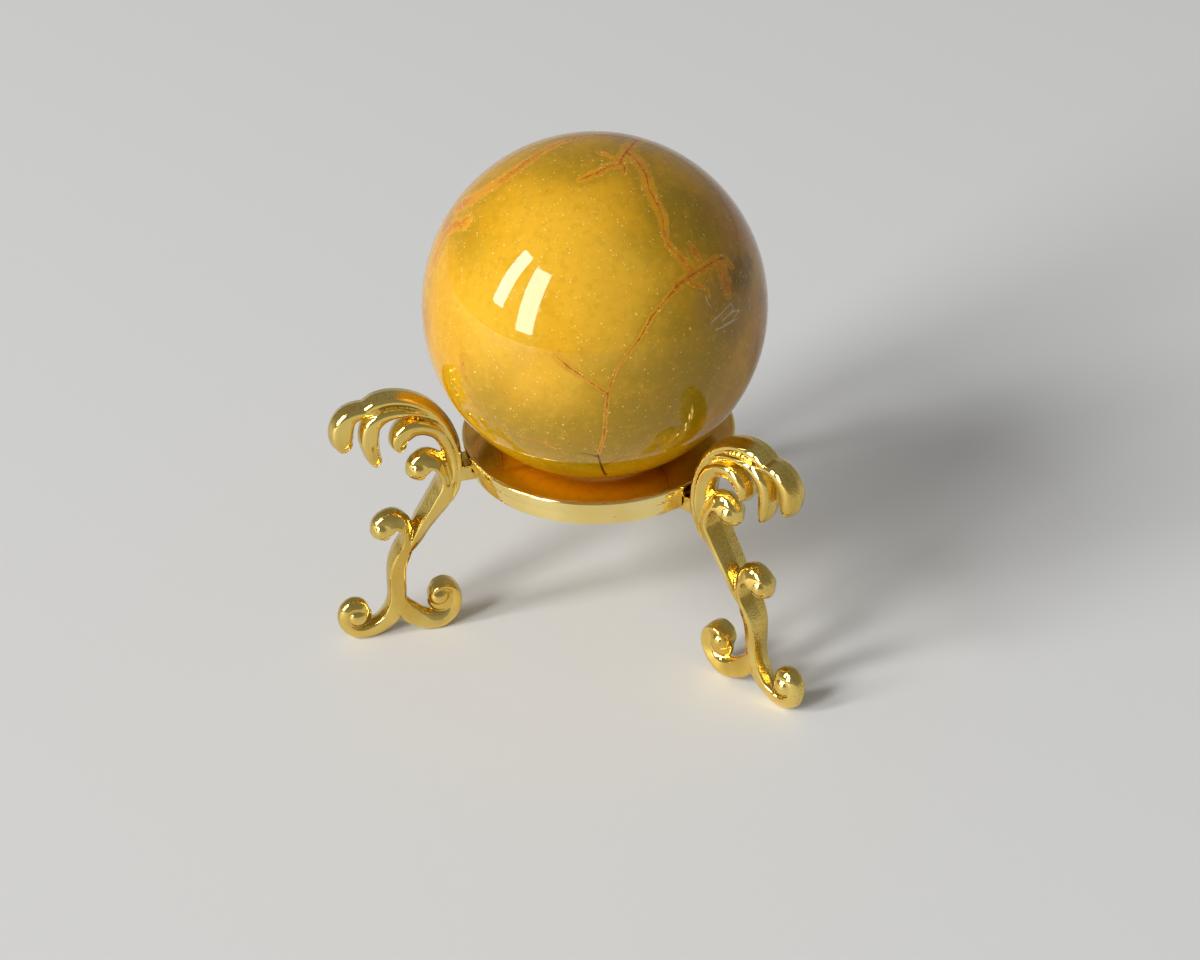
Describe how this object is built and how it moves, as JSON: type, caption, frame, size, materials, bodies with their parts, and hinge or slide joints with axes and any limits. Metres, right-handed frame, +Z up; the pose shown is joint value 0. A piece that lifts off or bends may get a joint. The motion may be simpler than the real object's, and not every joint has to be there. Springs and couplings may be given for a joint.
{
  "type": "polished stone sphere on a three legged stand",
  "caption": "Polished mookaite sphere resting in a bevelled metal ring dish, carried on scrolled gold-plated cast legs.",
  "frame": {"origin": "on the stand's axis, in the plane that the feet stand on", "axes": "+Z up through the stone's centre; the left leg points 13 degrees round from -X towards -Y"},
  "size_m": [0.0699, 0.0712, 0.0773],
  "materials": {
    "stone": "polished mustard yellow stone with olive clouds and orange-brown veins",
    "gold_plate": "pale gold plating over a cast body, bright and slightly grained",
    "steel": "plain machine screws"
  },
  "bodies": {
    "stand": {"ring_dish": "gold_plate", "leg_left": "gold_plate", "leg_right": "gold_plate", "leg_rear": "gold_plate", "screw_left": "steel", "screw_right": "steel", "screw_rear": "steel"},
    "stone": {"stone_sphere": "stone"}
  },
  "joints": [
    {"name": "stone_lift", "type": "slide", "parent": "stand", "child": "stone", "axis": [0, 0, 1], "range_m": [0, 0.055]}
  ]
}
